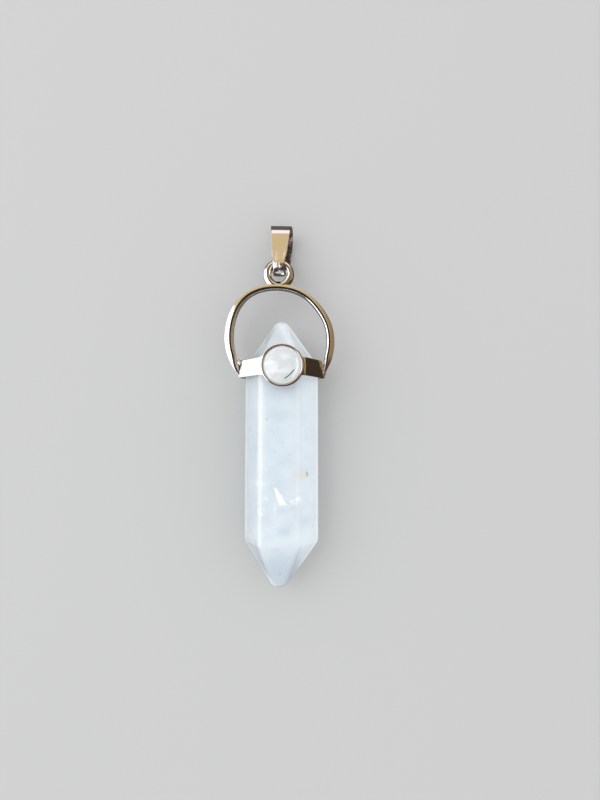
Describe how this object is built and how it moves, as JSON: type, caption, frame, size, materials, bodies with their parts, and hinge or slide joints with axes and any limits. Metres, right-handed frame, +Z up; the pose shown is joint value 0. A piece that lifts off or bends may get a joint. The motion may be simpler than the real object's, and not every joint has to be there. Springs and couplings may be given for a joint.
{
  "type": "quartz crystal pendant",
  "caption": "Six-sided double-ended quartz point in a plated collar with a round cabochon, under a hoop, an eye and a tapered bail.",
  "frame": {"origin": "middle of the object's outline on the surface that it lies on", "axes": "+Y along the crystal towards the bail, +Z up out of the cabochon, +X to the right seen from the front"},
  "size_m": [0.0184, 0.0616, 0.0153],
  "materials": {
    "quartz": "polished milky quartz with faint veils and specks",
    "plated_metal": "bright silver-coloured plating",
    "cabochon_stone": "polished milky dome",
    "bail_metal": "bright plating with a fine brushed grain"
  },
  "bodies": {
    "pendant": {"quartz_point": "quartz", "setting": "plated_metal", "cabochon": "cabochon_stone"},
    "bail": {"bail": "bail_metal"}
  },
  "joints": [
    {"name": "bail_swing", "type": "hinge", "parent": "pendant", "child": "bail", "pos_m": [-0.0001, 0.0228, 0.00685], "axis": [0.9972, -0.0269, 0.0704], "range_deg": [-43, 126]}
  ]
}
